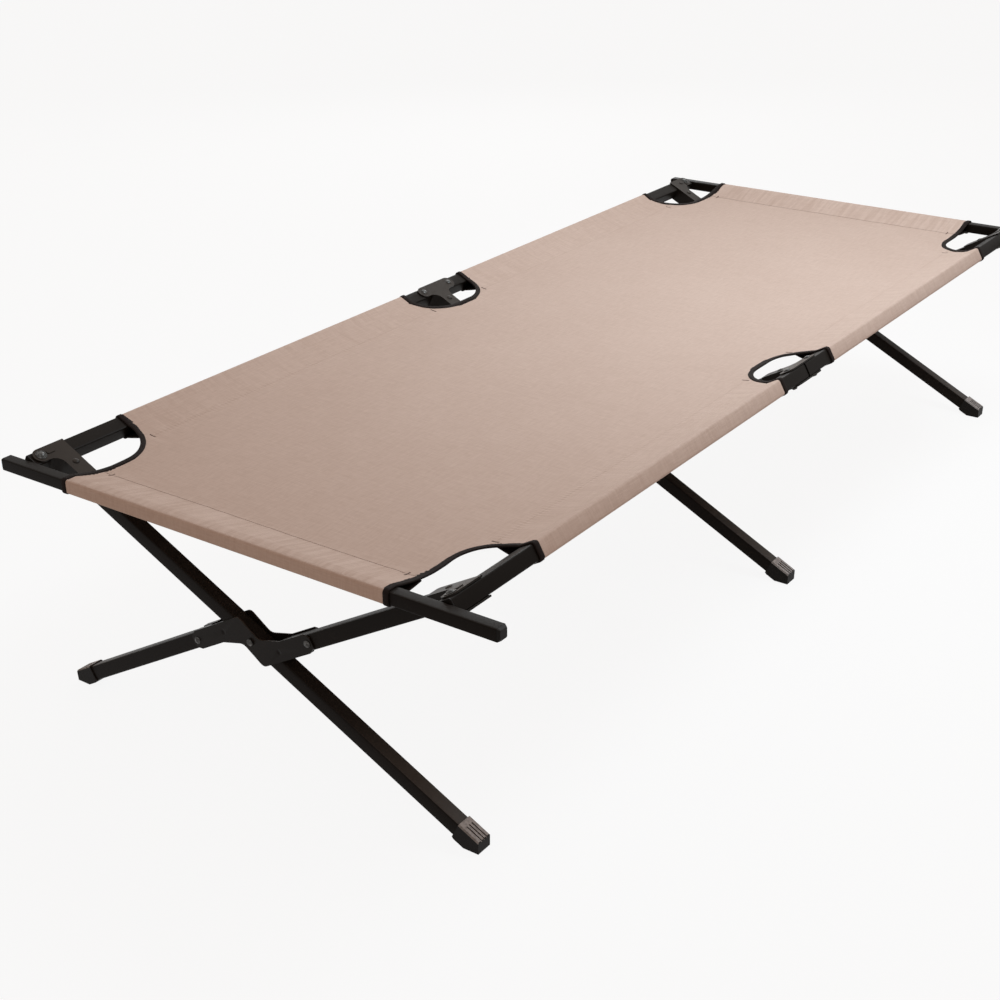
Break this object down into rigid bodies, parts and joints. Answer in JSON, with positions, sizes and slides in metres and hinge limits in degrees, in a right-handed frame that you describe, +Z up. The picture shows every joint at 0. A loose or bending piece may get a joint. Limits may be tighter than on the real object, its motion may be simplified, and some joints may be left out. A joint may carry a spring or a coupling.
{
  "type": "folding camping cot",
  "caption": "Folding camping cot: fabric sling sewn round two tube rails, crossed legs that fold on central pivots, and pull-off square end bars.",
  "frame": {"origin": "on the floor under the middle of the object's bounding box, which is under the middle of the end bars", "axes": "+Z up, +X along the cot, +Y across it towards the rail of the frame with the unbroken legs"},
  "size_m": [1.9574, 0.889, 0.4042],
  "materials": {
    "frame_tube": "fine black powder coat, half gloss",
    "bracket": "black powder coat over stamped sheet",
    "rivet": "dark plated rivet",
    "plastic": "moulded, fine texture",
    "cloth": "tightly woven coated cloth"
  },
  "bodies": {
    "frame_a": {"rail_a_left": "frame_tube", "rail_a_right": "frame_tube", "bracket_a_left": "bracket", "bracket_a_mid": "bracket", "bracket_a_right": "bracket", "leg_a_left": "frame_tube", "leg_a_mid": "frame_tube", "leg_a_right": "frame_tube", "foot_a_left": "plastic", "foot_a_mid": "plastic", "foot_a_right": "plastic", "rail_plug_a_left": "plastic", "rail_plug_a_right": "plastic", "rail_rivet_a_left": "rivet", "rail_rivet_a_mid_1": "rivet", "rail_rivet_a_mid_2": "rivet", "rail_rivet_a_right": "rivet", "pivot_rivet_left": "rivet", "pivot_rivet_mid": "rivet", "pivot_rivet_right": "rivet", "sling": "cloth"},
    "frame_b": {"rail_b_left": "frame_tube", "rail_b_right": "frame_tube", "bracket_b_left": "bracket", "bracket_b_mid": "bracket", "bracket_b_right": "bracket", "leg_b_upper_left": "frame_tube", "leg_b_upper_mid": "frame_tube", "leg_b_upper_right": "frame_tube", "leg_b_lower_left": "frame_tube", "leg_b_lower_mid": "frame_tube", "leg_b_lower_right": "frame_tube", "foot_b_left": "plastic", "foot_b_mid": "plastic", "foot_b_right": "plastic", "rail_plug_b_left": "plastic", "rail_plug_b_right": "plastic", "rail_rivet_b_left": "rivet", "rail_rivet_b_mid_1": "rivet", "rail_rivet_b_mid_2": "rivet", "rail_rivet_b_right": "rivet", "pivot_plate_left_1": "bracket", "pivot_plate_left_2": "bracket", "pivot_plate_mid_1": "bracket", "pivot_plate_mid_2": "bracket", "pivot_plate_right_1": "bracket", "pivot_plate_right_2": "bracket", "pivot_plate_rivet_left_lower": "rivet", "pivot_plate_rivet_left_upper": "rivet", "pivot_plate_rivet_mid_lower": "rivet", "pivot_plate_rivet_mid_upper": "rivet", "pivot_plate_rivet_right_lower": "rivet", "pivot_plate_rivet_right_upper": "rivet"},
    "left_bar": {"end_bar_left": "frame_tube", "end_bar_plug_left_near": "plastic", "end_bar_plug_left_far": "plastic"},
    "right_bar": {"end_bar_right": "frame_tube", "end_bar_plug_right_near": "plastic", "end_bar_plug_right_far": "plastic"}
  },
  "joints": [
    {"name": "scissor_fold", "type": "hinge", "parent": "frame_a", "child": "frame_b", "pos_m": [0, 0.02443, 0.1965], "axis": [-1, 0, 0], "range_deg": [0, 122], "deforming": ["sling"]},
    {"name": "left_bar_pull", "type": "slide", "parent": "frame_a", "child": "left_bar", "axis": [-1, 0, 0], "range_m": [0, 0.012], "deforming": ["sling"]},
    {"name": "right_bar_pull", "type": "slide", "parent": "frame_a", "child": "right_bar", "axis": [1, 0, 0], "range_m": [0, 0.012], "deforming": ["sling"]}
  ]
}
